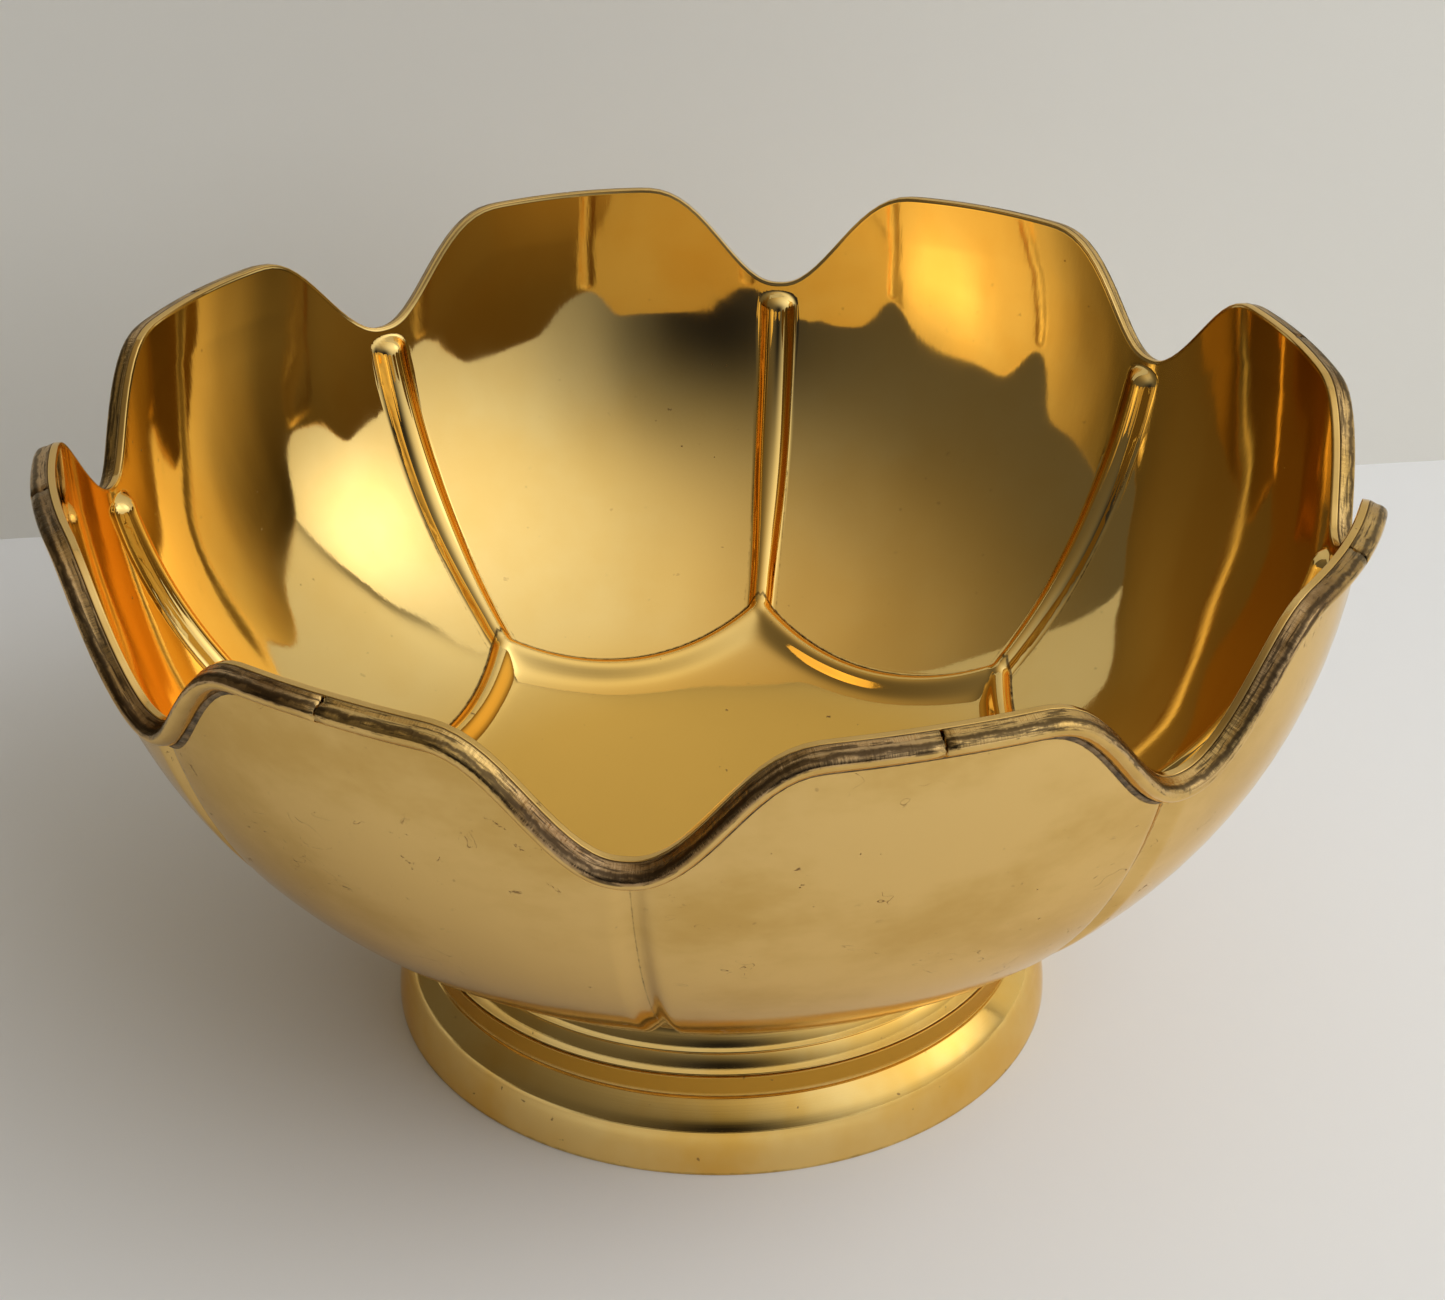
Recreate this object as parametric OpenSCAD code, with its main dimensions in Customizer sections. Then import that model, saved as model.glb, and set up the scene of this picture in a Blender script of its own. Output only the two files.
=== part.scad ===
// Lobed brass bowl on a spun foot.
// The bowl is one pressed sheet: eight petals, parted by half-round ribs that stand up
// inside and read as grooves outside, and a ring of arc beads around the bottom field.
// Its scalloped edge carries eight lengths of half-round moulding, soldered to the outer face.
// Origin: centre of the foot's resting face. +Z up. A notch of the edge faces -Y.

/* [Bowl] */
// Inner radius of the wall where it would stand vertical
wall_radius = 121.8; // [116:0.1:130]
// Height of the bowl's floor above the table, at its centre
floor_z = 18; // [16:0.5:22]
// Height at which the wall would stand vertical
upright_z = 138.8; // [134:0.1:146]
// How fast the floor opens out: larger is a tighter bottom
belly_open = 1.1; // [1.05:0.01:1.15]
// How full the belly is: smaller is fuller
belly_full = 0.79; // [0.76:0.01:0.84]
// Thickness of the sheet
sheet_t = 1.4; // [1.2:0.1:1.8]

/* [Scalloped edge] */
// Height of the edge at the bottom of a notch
notch_z = 106.8; // [104:0.1:110]
// Rise from a notch to the shoulder of a petal
notch_rise = 21.2; // [16:0.1:23]
// Angle from the middle of a notch to the shoulder of a petal
shoulder_angle = 15.2; // [14:0.1:16]
// How early the edge leaves the notch: smaller is a rounder shoulder
edge_ease = 0.85; // [0.8:0.01:1]
// Extra height of a petal's middle above its shoulders
crown_rise = 1.1; // [0:0.1:2]

/* [Ribs and beads] */
// Half of the width of a rib
rib_half_w = 3.7; // [3:0.1:4.2]
// Height of a rib inside the bowl
rib_h = 2.6; // [2:0.1:3]
// Depth of the groove behind a rib
groove_depth = 1.6; // [1:0.1:2.4]
// Radius at which two arc beads meet under a rib
cusp_r = 78.5; // [76:0.1:82]
// Smallest radius that an arc bead reaches, at the middle of its petal
arc_mid_r = 67; // [65:0.1:69]
// Height of an arc bead
bead_h = 2.4; // [1.6:0.1:2.6]

/* [Moulding] */
// Height of the moulding along the wall
moulding_h = 5; // [4:0.1:5.5]
// Thickness of the moulding
moulding_t = 3.4; // [2.4:0.1:4]
// Gap at each butt joint between two lengths, as a share of the last step
butt_gap = 0.02; // [0.01:0.01:0.1]
// How far the solder seam stands out under the moulding
solder_w = 0.8; // [0.4:0.1:1]

/* [Foot] */
// Radius of the foot where it rests
foot_r = 67.5; // [66:0.1:69]
// Height of the foot's upright side
side_h = 8.5; // [7.5:0.1:9]
// How far the side leans in over its height
side_lean = 1.5; // [1:0.1:2.2]
// Radius of the foot's round shoulder
shoulder_r = 8.2; // [7.6:0.1:8.6]
// Width of the flat ring that the foot rests on
foot_rest_w = 2.5; // [2:0.1:3]
// Height of the upright band above the shoulder
band_h = 4.2; // [3.5:0.1:4.8]
// Radius of the neck close under the bowl
neck_r = 57.5; // [57.2:0.1:58]
// Radius at which the neck meets the bowl
neck_top_r = 56; // [55.6:0.1:56.4]
// Thickness of the foot's wall
foot_t = 1.6; // [1.4:0.1:2]
// Clearance between the neck and the bowl, filled by solder
foot_gap = 0.1; // [0.05:0.05:0.2]

/* [Hidden] */
// Number of petals. Each notch has its own node of moulding.
lobe_count = 8;
sector = 360 / lobe_count;
half_sector = sector / 2;
wall_drop = upright_z - floor_z;
t_step = 0.05;
a_step = 0.25;
brass = [0.80, 0.62, 0.30];
brass_rim = [0.72, 0.54, 0.27];
brass_foot = [0.78, 0.60, 0.27];
solder_grey = [0.42, 0.36, 0.28];

// The grid that the sheet is built on. Columns run up the wall and rows run around it.
// The first columns cross half of a rib, at these shares of its half width.
rib_columns = [0, 0.38, 0.74, 1];
// The other columns spread from the rib's edge to the middle of the petal, at these shares.
petal_columns = [0.09, 0.18, 0.265, 0.36, 0.47, 0.7, 1];
// Rows of the bottom field, as shares of the way out to the arc beads.
field_rows = [0.4, 0.75];
// Rows across an arc bead: [distance from its crest, share of its height inside, outside].
// The bead is steep towards the petal and soft towards the centre.
bead_rows = [[-6.5, 0, 0], [-4.5, 0.25, 0.15], [-2, 0.76, 0.5], [0, 1, 1], [1.2, 0.8, 0.8], [2.6, 0, 0]];
// Rows between the arc beads and the edge.
wall_rows = 5;
// Rows that follow the edge: [distance below it, share of rib height inside, outside].
// The rib's round end lies just under the edge, and the groove starts under the moulding.
edge_rows = [[moulding_h + 4.5, 1, 1], [moulding_h + 2.3, 1, 0.85], [moulding_h + 1.1, 1, 0.4],
             [moulding_h, 0.95, 0], [moulding_h * 0.48, 0, 0], [0, 0, 0]];

half_columns = len(rib_columns) + len(petal_columns) - 1;
sector_columns = 2 * half_columns;
columns = lobe_count * sector_columns;
first_bead_row = len(field_rows);
first_wall_row = first_bead_row + len(bead_rows);
first_edge_row = first_wall_row + wall_rows;
rows = first_edge_row + len(edge_rows);
edge_row = rows - 1;
mid_moulding_row = rows - 2;
low_moulding_row = rows - 3;

// --- The wall's curve: t runs from 0 at the middle of the floor towards 90 at the upright wall ---

function wall_r(t) = wall_radius * pow(sin(t), belly_open);
function wall_z(t) = upright_z - wall_drop * pow(cos(t), belly_full);
function wall_slope(t) = [wall_r(t + t_step) - wall_r(t - t_step), wall_z(t + t_step) - wall_z(t - t_step)];
// Millimetres along the wall for one degree of t.
function wall_speed(t) = norm(wall_slope(t)) / (2 * t_step);
// Unit vector [radial, vertical] that points into the bowl.
function wall_inward(t) = t < 1 ? [0, 1] : let (d = wall_slope(t)) [-d[1], d[0]] / norm(d);
function t_at_z(z) = acos(pow((upright_z - z) / wall_drop, 1 / belly_full));
function t_at_r(r) = asin(pow(r / wall_radius, 1 / belly_open));
// Point on the wall at angle a, shifted into the bowl by n.
function wall_point(a, t, n) =
    let (inward = wall_inward(t), r = wall_r(t) + n * inward[0])
    [r * cos(a), r * sin(a), wall_z(t) + n * inward[1]];
function outward(a, t) = wall_point(a, t, -1) - wall_point(a, t, 0);
function arc_length(angle, r) = angle * PI / 180 * r;
function arc_angle(length, r) = length * 180 / PI / r;

// --- The edge and the arc beads, by the angle from the nearest notch ---

function smoother(x) = let (s = min(max(x, 0), 1)) s * s * s * (s * (6 * s - 15) + 10);
function edge_z(a) =
    notch_z + notch_rise * smoother(pow(abs(a) / shoulder_angle, edge_ease))
    + crown_rise * pow(sin(90 * a / half_sector), 2);
function edge_t(a) = t_at_z(edge_z(a));
// Slope of the edge on the wall: rise along the wall for each millimetre around it.
function edge_slope(a) =
    let (t = edge_t(a), rise = (edge_t(a + a_step) - edge_t(a - a_step)) * wall_speed(t))
    rise / arc_length(2 * a_step, wall_r(t));

// Seen from above, an arc bead is a circle through its two cusps and its middle.
chord_r = cusp_r * cos(half_sector);
half_chord = cusp_r * sin(half_sector);
arc_sag = chord_r - arc_mid_r;
arc_circle = (half_chord * half_chord + arc_sag * arc_sag) / (2 * arc_sag);
function bead_r(a) =
    let (from_mid = half_sector - abs(a), centre = arc_mid_r + arc_circle)
    centre * cos(from_mid) - sqrt(pow(arc_circle, 2) - pow(centre * sin(from_mid), 2));
function bead_t(a) = t_at_r(bead_r(a));
function bead_slope(a) =
    let (b = max(a, a_step), rise = (bead_t(b + a_step) - bead_t(b - a_step)) * wall_speed(bead_t(b)))
    rise / arc_length(2 * a_step, bead_r(b));

// --- The grid: i counts columns from a notch to the middle of a petal ---

function column_angle(i, r) =
    let (edge_angle = arc_angle(rib_half_w, max(r, cusp_r)), past = i - len(rib_columns))
    past < 0 ? edge_angle * rib_columns[i]
             : edge_angle + (half_sector - edge_angle) * petal_columns[past];
// A grid place is [angle from the notch, t].
function edge_place(i, below) =
    let (a = column_angle(i, wall_radius), t = edge_t(a), m = i < half_columns ? edge_slope(a) : 0,
         run = below / sqrt(1 + m * m))
    [a + arc_angle(run * m, wall_r(t)), t - run / wall_speed(t)];
function bead_place(i, e) =
    let (a = column_angle(i, cusp_r), m = i < half_columns ? bead_slope(a) : 0, t = bead_t(a))
    [a, t + e * sqrt(1 + m * m) / wall_speed(t)];
function wall_place(i, share) =
    let (low = bead_place(i, bead_rows[len(bead_rows) - 1][0]), high = edge_place(i, edge_rows[0][0]),
         t = low[1] + (high[1] - low[1]) * share,
         lean = (high[0] - column_angle(i, wall_r(high[1]))) * pow(share, 2))
    [column_angle(i, wall_r(t)) + lean, t];
function field_place(i, share) =
    let (rim = bead_place(i, bead_rows[0][0])) [rim[0], rim[1] * share];
function place(i, row) =
    row < first_bead_row ? field_place(i, field_rows[row])
    : row < first_wall_row ? bead_place(i, bead_rows[row - first_bead_row][0])
    : row < first_edge_row ? wall_place(i, (row - first_wall_row + 1) / (wall_rows + 1))
    : edge_place(i, edge_rows[row - first_edge_row][0]);

// Share of the full rib at a column: round inside, a soft valley outside.
function rib_round(i) = i >= len(rib_columns) ? 0 : sqrt(1 - pow(rib_columns[i], 2));
function rib_valley(i) = i >= len(rib_columns) ? 0 : (1 + cos(180 * rib_columns[i])) / 2;
function rib_along(row, side) =
    row < first_bead_row + 3 ? 0
    : row < first_edge_row ? 1
    : edge_rows[row - first_edge_row][side];
function bead_across(row, side) =
    row < first_bead_row || row >= first_wall_row ? 0 : bead_rows[row - first_bead_row][side];
function raised(i, row) = max(rib_h * rib_round(i) * rib_along(row, 1), bead_h * bead_across(row, 1));
function sunk(i, row) =
    max(groove_depth * rib_valley(i) * rib_along(row, 2), groove_depth * bead_across(row, 2));

// Column c counts all the way round, from the notch that faces -Y.
function mirrored_index(c) =
    let (k = c % sector_columns) k <= half_columns ? k : sector_columns - k;
function column_place(c, row) =
    let (k = c % sector_columns, p = place(mirrored_index(c), row),
         start = -90 + sector * floor(c / sector_columns))
    [k <= half_columns ? start + p[0] : start + sector - p[0], p[1]];
function inner_point(c, row) =
    let (p = column_place(c, row)) wall_point(p[0], p[1], raised(mirrored_index(c), row));
function outer_point(c, row) =
    let (p = column_place(c, row)) wall_point(p[0], p[1], sunk(mirrored_index(c), row) - sheet_t);
function outer_normal(c, row) = let (p = column_place(c, row)) outward(p[0], p[1]);

// --- Faces ---

function quad(a, b, c, d) = [[a, c, b], [a, d, c]];
function flat_list(lists) = [for (list = lists) for (item = list) item];

module bowl_body() {
    inner = [for (row = [0:rows - 1]) for (c = [0:columns - 1]) inner_point(c, row)];
    outer = [for (row = [0:rows - 1]) for (c = [0:columns - 1]) outer_point(c, row)];
    poles = [[0, 0, floor_z], [0, 0, floor_z - sheet_t]];
    shift = rows * columns;
    inner_pole = 2 * shift;
    outer_pole = inner_pole + 1;
    sheet_faces = flat_list([for (row = [0:rows - 2]) for (c = [0:columns - 1])
        let (a = row * columns + c, b = row * columns + (c + 1) % columns)
        concat(quad(a, a + columns, b + columns, b),
               quad(shift + a, shift + b, shift + b + columns, shift + a + columns))]);
    edge_faces = flat_list([for (c = [0:columns - 1])
        let (a = edge_row * columns + c, b = edge_row * columns + (c + 1) % columns)
        quad(a, shift + a, shift + b, b)]);
    pole_faces = flat_list([for (c = [0:columns - 1])
        let (b = (c + 1) % columns)
        [[inner_pole, b, c], [outer_pole, shift + c, shift + b]]]);
    color(brass)
        polyhedron(points = concat(inner, outer, poles), faces = concat(sheet_faces, edge_faces, pole_faces),
                   convexity = 6);
}

// The moulding's section: [share of the way down its back, share of its thickness].
// Its top slopes down from the edge of the sheet and rounds over into its face.
moulding_section = [[0, 0], [0.1, 0.4], [0.18, 0.7], [0.3, 0.93], [0.44, 1], [0.6, 0.93], [0.78, 0.72],
                    [0.93, 0.4], [1, 0]];

function moulding_ring(c) =
    let (top = outer_point(c, edge_row), low = outer_point(c, low_moulding_row),
         out = outer_normal(c, edge_row))
    concat([for (p = moulding_section) top + (low - top) * p[0] + out * moulding_t * p[1]],
           [outer_point(c, mid_moulding_row)]);
function between(a, b, share) = [for (k = [0:len(a) - 1]) a[k] + (b[k] - a[k]) * share];

// One length of moulding, from the middle of one petal through notch n to the middle of the next.
module rim_moulding(n) {
    first = n * sector_columns - half_columns + columns;
    plain = [for (k = [0:sector_columns]) moulding_ring((first + k) % columns)];
    last = len(plain) - 1;
    rings = [for (k = [0:last])
        k == 0 ? between(plain[0], plain[1], butt_gap)
        : k == last ? between(plain[last], plain[last - 1], butt_gap)
        : plain[k]];
    size = len(plain[0]);
    side_faces = flat_list([for (k = [0:last - 1]) for (j = [0:size - 1])
        let (a = k * size + j, b = k * size + (j + 1) % size)
        quad(a, b, b + size, a + size)]);
    end_faces = [for (j = [0:size - 3]) [size - 1, j, j + 1]];
    far_faces = [for (f = end_faces) [f[0], f[2], f[1]] + [1, 1, 1] * last * size];
    color(brass_rim)
        polyhedron(points = flat_list(rings), faces = concat(side_faces, end_faces, far_faces),
                   convexity = 6);
}

// The solder under the moulding: a three-sided seam that runs right round the bowl.
module rim_solder() {
    points = flat_list([for (c = [0:columns - 1])
        let (top = outer_point(c, low_moulding_row))
        [top, outer_point(c, low_moulding_row - 1), top + solder_w * outer_normal(c, low_moulding_row)]]);
    faces = flat_list([for (c = [0:columns - 1]) for (j = [0:2])
        let (a = 3 * c + j, b = 3 * c + (j + 1) % 3, next = 3 * ((c + 1) % columns) - 3 * c)
        quad(a, a + next, b + next, b)]);
    color(solder_grey)
        polyhedron(points = points, faces = faces, convexity = 6);
}

// --- The foot, spun as one ring. Offsets are [outward, upward]. ---

// The shoulder turns on its own radius first, then flattens on a larger one up to the crease.
shoulder_start = 16;
shoulder_turn = 38;
shoulder_end = 45;
shoulder_top_r = 32;
side_top = [foot_r - side_lean, side_h];
shoulder_centre = side_top - shoulder_r * [cos(shoulder_start), sin(shoulder_start)];
top_centre = shoulder_centre - (shoulder_top_r - shoulder_r) * [cos(shoulder_turn), sin(shoulder_turn)];
function turn_points(centre, radius, from, to, steps) =
    [for (k = [0:steps]) let (a = from + (to - from) * k / steps) centre + radius * [cos(a), sin(a)]];
// The bowl's outer face, at radius r.
function under_bowl(r) =
    let (t = t_at_r(r), p = [wall_r(t), wall_z(t)] - (sheet_t + foot_gap) * wall_inward(t)) [p[0], p[1]];
// A curve that leaves a, passes through b and ends at c.
function bend(a, b, c, steps) =
    [for (k = [1:steps]) let (s = k / steps, mid = 2 * b - (a + c) / 2)
        a * pow(1 - s, 2) + mid * 2 * s * (1 - s) + c * pow(s, 2)];

// From the table up: side, shoulder, upright band, then a neck of two round steps.
rest_corner = [0.3, 0.5];
side_swell = [0.3, 0.1];
crease_step = [-0.45, 0.25];
band_lip = [-0.7, 0.3];
neck_swell = [0.15, 0.05];
fold_drop = 3.3;
crease = top_centre + shoulder_top_r * [cos(shoulder_end), sin(shoulder_end)];
band_low = crease + crease_step;
band_high = band_low + [0, band_h];
neck_low = band_high + band_lip;
neck_high = under_bowl(neck_top_r);
neck_fold = [neck_r, neck_high[1] - fold_drop];
neck_step = (neck_low + neck_fold) / 2;
side_edge = [foot_r, rest_corner[1]];
foot_outline = concat(
    [[foot_r - rest_corner[0], 0], side_edge],
    bend(side_edge, (side_edge + side_top) / 2 + side_swell, side_top, 5),
    turn_points(shoulder_centre, shoulder_r, shoulder_start + 4, shoulder_turn, 6),
    [crease, band_low, band_high, neck_low],
    bend(neck_low, (neck_low + neck_step) / 2 + neck_swell, neck_step, 4),
    bend(neck_step, (neck_step + neck_fold) / 2 + neck_swell, neck_fold, 4),
    [neck_high]);
// The hollow inside follows the outline from the neck's top down to the flat resting ring.
fold_inset = [foot_t, 0.2];
wall_inset = [foot_t, 0.6];
inner_start = 50;
rest_lip_h = 1;
foot_inside = concat(
    [under_bowl(neck_top_r - foot_t)],
    [neck_fold - fold_inset, neck_low - wall_inset, band_low - wall_inset],
    turn_points(shoulder_centre, shoulder_r - foot_t, inner_start, shoulder_start, 6),
    [[foot_r - foot_rest_w, rest_lip_h], [foot_r - foot_rest_w, 0]]);

module foot_ring() {
    color(brass_foot)
        rotate_extrude($fn = 180)
            polygon(concat(foot_outline, foot_inside));
}

// The ring of solder in the corner between the neck and the bowl.
solder_leg = 1.2;
solder_shift = [0.05, 0];
module foot_solder() {
    out_r = neck_top_r + solder_leg;
    corner = neck_high + solder_shift;
    down = (neck_fold - neck_high) / norm(neck_fold - neck_high);
    color(solder_grey)
        rotate_extrude($fn = 180)
            polygon([corner, corner + solder_leg * down, under_bowl(out_r)]);
}

bowl_body();
rim_moulding(0);  // rim_moulding_1
rim_moulding(1);  // rim_moulding_2
rim_moulding(2);  // rim_moulding_3
rim_moulding(3);  // rim_moulding_4
rim_moulding(4);  // rim_moulding_5
rim_moulding(5);  // rim_moulding_6
rim_moulding(6);  // rim_moulding_7
rim_moulding(7);  // rim_moulding_8
rim_solder();
foot_ring();
foot_solder();
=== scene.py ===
"""A footed brass bowl with eight petals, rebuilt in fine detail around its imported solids.

Shapes are worked out in millimetres and made in metres. Angles are in radians. A place on the
sheet is an angle from the nearest notch and the parameter t of the wall's curve.
"""

import math

import bpy
import numpy as np
from mathutils import Matrix, Vector


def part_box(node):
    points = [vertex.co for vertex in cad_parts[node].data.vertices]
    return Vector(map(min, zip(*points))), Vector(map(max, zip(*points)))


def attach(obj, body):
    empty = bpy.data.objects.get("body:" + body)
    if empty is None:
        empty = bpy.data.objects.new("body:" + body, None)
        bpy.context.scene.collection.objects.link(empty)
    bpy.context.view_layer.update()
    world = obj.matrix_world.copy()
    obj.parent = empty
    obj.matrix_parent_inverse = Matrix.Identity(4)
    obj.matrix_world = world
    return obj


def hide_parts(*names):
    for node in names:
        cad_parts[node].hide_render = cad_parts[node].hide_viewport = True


MM = 0.001

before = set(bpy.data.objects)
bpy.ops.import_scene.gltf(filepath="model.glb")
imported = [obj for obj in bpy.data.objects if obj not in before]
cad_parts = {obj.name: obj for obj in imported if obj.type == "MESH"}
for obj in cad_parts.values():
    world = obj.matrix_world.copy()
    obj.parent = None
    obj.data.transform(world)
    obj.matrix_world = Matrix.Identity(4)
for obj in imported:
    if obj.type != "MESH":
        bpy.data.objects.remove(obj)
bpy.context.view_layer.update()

# --- Sizes: the outer ones are the frame's own, the others shape the curves between them ---

FOOT_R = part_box("foot_ring")[1].x / MM
SHEET_T = 1.4
FLOOR_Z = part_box("bowl_body")[0].z / MM + SHEET_T
CROWN_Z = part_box("bowl_body")[1].z / MM
# The edge's rise from a notch to the petal's shoulder, and its slight rise over the half petal.
NOTCH_RISE = 21.2
CROWN_RISE = 1.1
NOTCH_Z = CROWN_Z - CROWN_RISE - NOTCH_RISE
# The wall's curve would stand upright a little above the edge, at this height and radius.
UPRIGHT_Z = CROWN_Z + 9.7
WALL_DROP = UPRIGHT_Z - FLOOR_Z
WALL_R = 121.8
# Powers of the curve's sine and cosine: the first opens the bottom, the second fills the belly.
BELLY_OPEN = 1.1
BELLY_FULL = 0.79

LOBES = 8
SECTOR = 2 * math.pi / LOBES
HALF_SECTOR = SECTOR / 2
SHOULDER = math.radians(15.2)
EDGE_EASE = 0.85

# Half the width of a rib, its height, and how far below the edge it ends.
RIB_W = 3.9
RIB_H = 2.6
RIB_END = 2.2
# The ribs get slimmer by this share from this radius down to the cusps.
RIB_TAPER = 0.33
RIB_TAPER_R = 112.0
GROOVE_W = 4.0
GROOVE_DEPTH = 1.7
# Radius of the arc beads' crest at a rib and in the middle of a petal.
CUSP_R = 78.5
ARC_MID_R = 67.0
BEAD_H = 2.4
# Reach and power of the beads' two sides: gentle towards the bowl's middle, steep towards its wall.
BEAD_GENTLE = (3.1, 1.9)
BEAD_STEEP = (2.3, 2.4)
# The same for the hollow behind a bead. Its gentle side is a cosine, so it only has a reach.
STEP_GENTLE = 6
STEP_STEEP = (2.4, 2)
# So low that a curve cut off here leaves no trace where it meets the plain sheet.
SUNK = -3

MOULDING_H = 5.0
MOULDING_T = 3.4
# Drop of the moulding's top from back to front, as a share of its height.
TOP_SLOPE = 0.26
# The solder's hairline gap between sheet and moulding, and how far the seam reaches below it.
MOULDING_GAP = 0.02
SOLDER_DROP = 1.0
TINY = 1e-9


# --- The wall's curve and the lines drawn on it ---


def wall_r(t):
    return WALL_R * np.sin(t) ** BELLY_OPEN


def wall_z(t):
    return UPRIGHT_Z - WALL_DROP * np.cos(t) ** BELLY_FULL


def wall_slope(t):
    """Change of radius and height for each radian of t."""
    s, c = np.sin(t), np.cos(t)
    dr = WALL_R * BELLY_OPEN * s ** (BELLY_OPEN - 1) * c
    dz = WALL_DROP * BELLY_FULL * c ** (BELLY_FULL - 1) * s
    return dr, dz


def wall_speed(t):
    return np.hypot(*wall_slope(t))


def t_at_z(z):
    return np.arccos(((UPRIGHT_Z - z) / WALL_DROP) ** (1 / BELLY_FULL))


def t_at_r(r):
    return np.arcsin((r / WALL_R) ** (1 / BELLY_OPEN))


def smooth_step(x):
    s = np.clip(x, 0, 1)
    return s**3 * (s * (6 * s - 15) + 10)


def smooth_max(a, b, k):
    """The larger of a and b, with a rounded change from one to the other."""
    h = np.clip(0.5 + 0.5 * (a - b) / k, 0, 1)
    return a * h + b * (1 - h) + k * h * (1 - h) / 2


def edge_t(a):
    rise = NOTCH_RISE * smooth_step((np.abs(a) / SHOULDER) ** EDGE_EASE)
    crown = CROWN_RISE * np.sin(math.pi / 2 * a / HALF_SECTOR) ** 2
    return t_at_z(NOTCH_Z + rise + crown)


def bead_r(a):
    """Radius of the arc bead's crest. Seen from above, each petal's bead is part of a circle."""
    chord, half = CUSP_R * math.cos(HALF_SECTOR), CUSP_R * math.sin(HALF_SECTOR)
    sag = chord - ARC_MID_R
    circle = (half**2 + sag**2) / (2 * sag)
    centre, turn = ARC_MID_R + circle, HALF_SECTOR - np.abs(a)
    return centre * np.cos(turn) - np.sqrt(circle**2 - (centre * np.sin(turn)) ** 2)


def bead_t(a):
    return t_at_r(bead_r(a))


def line_slope(line, a):
    """Rise along the wall of a line, for each millimetre around it."""
    step = 0.002
    at = np.maximum(a, step)
    t = line(at)
    rise = (line(at + step) - line(at - step)) * wall_speed(t)
    slope = rise / (2 * step * wall_r(t))
    return np.where(a >= HALF_SECTOR - TINY, 0, slope)


# --- The grid of the sheet: rows follow the arc beads and the edge, columns follow the ribs ---

RIB_MARGIN = 1.2
RIB_SHARES = np.linspace(0, 1, 11)
PETAL_SHARES = np.linspace(0, 1, 21)[1:] ** 1.1
HALF_COLUMNS = len(RIB_SHARES) + len(PETAL_SHARES) - 1
SECTOR_COLUMNS = 2 * HALF_COLUMNS
COLUMNS = LOBES * SECTOR_COLUMNS
# Distances of rows outward from the beads' crest, and below the edge on each face.
BEAD_STEPS = [-13, -11, -9.5, -8.2, -7.1, -6.1, -5.2, -4.4, -3.6, -2.9, -2.2, -1.6, -1.1, -0.7, -0.35]
BEAD_STEPS += [0, 0.35, 0.7, 1, 1.3, 1.6, 1.9, 2.2, 2.5, 2.9, 3.4, 4.2]
INNER_STEPS = [13, 11, 9.5, 8.4, 7.5, 6.7, 6, 5.4, 4.8, 4.2, 3.6, 3, 2.5, 2.1, 1.7, 1.3, 0.9, 0.6]
OUTER_STEPS = [12, 10.5, 9, 8, 7.2, 6.5, 6, 5.6, 5.2, 4.8, 4, 2.5, 1.2, 0.6]
# Rows of the field inside the beads, as shares of its radius, and of the wall, as shares of its height.
FIELD_SHARES = (0.08, 0.2, 0.32, 0.44, 0.55, 0.66, 0.76, 0.85, 0.93)
WALL_SHARES = np.linspace(0, 1, 20)[1:-1]
# Stands for the distance from a line too far away to matter.
FAR = 99.0
# How fast the cusp of two beads rounds off towards the centre, in radians for each millimetre.
CUSP_BLUR = 0.014
# Rows closer to the edge than this follow it squarely. Lower ones ease back to plain rows.
EDGE_BAND = 5.0


def column_angles(r):
    """Angle of each column from the notch, on a circle of radius r for each column."""
    rib = (RIB_W + RIB_MARGIN) / np.maximum(r, CUSP_R)
    shares = np.concatenate([RIB_SHARES, np.ones(len(PETAL_SHARES))])
    past = np.concatenate([np.zeros(len(RIB_SHARES)), PETAL_SHARES])
    return rib * shares + (HALF_SECTOR - rib) * past


def bead_row(distance):
    """Places at a distance outward from the crest of the arc beads."""
    a = column_angles(np.full(HALF_COLUMNS + 1, CUSP_R))
    blur = CUSP_BLUR * max(-distance, 0)
    soft = np.minimum(np.sqrt(a * a + blur * blur), HALF_SECTOR)
    m, t = line_slope(bead_t, soft) * a / np.maximum(soft, 1e-6), bead_t(soft)
    return a, t + distance * np.sqrt(1 + m * m) / wall_speed(t)


def edge_row(below):
    """Places at a distance below the scalloped edge, square to it."""
    a = column_angles(np.full(HALF_COLUMNS + 1, WALL_R))
    m, t = line_slope(edge_t, a), edge_t(a)
    m = np.where(a < TINY, 0, m)
    square = 1 / np.sqrt(1 + m * m)
    sideways = EDGE_BAND * (1 - math.exp(-below / EDGE_BAND)) * m * square
    down = below * square + np.maximum(below - EDGE_BAND, 0) * (1 - square)
    return a + sideways / wall_r(t), t - down / wall_speed(t)


def sheet_rows(edge_steps):
    """Rows of a face of the sheet, from its middle to its edge.

    Each row is its angles, its t, its distance from the bead and its distance below the edge.
    """
    rows = []
    start_a, start_t = bead_row(BEAD_STEPS[0])
    for share in FIELD_SHARES:
        rows.append((start_a, start_t * share, -FAR, FAR))
    for distance in BEAD_STEPS:
        rows.append((*bead_row(distance), distance, FAR))
    low_t, (high_a, high_t) = rows[-1][1], edge_row(edge_steps[0])
    high_lean = high_a - column_angles(wall_r(high_t))
    for share in WALL_SHARES:
        t = low_t + (high_t - low_t) * share
        rows.append((column_angles(wall_r(t)) + high_lean * share**2, t, FAR, FAR))
    for below in edge_steps:
        rows.append((*edge_row(below), FAR, below))
    return rows


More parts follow.
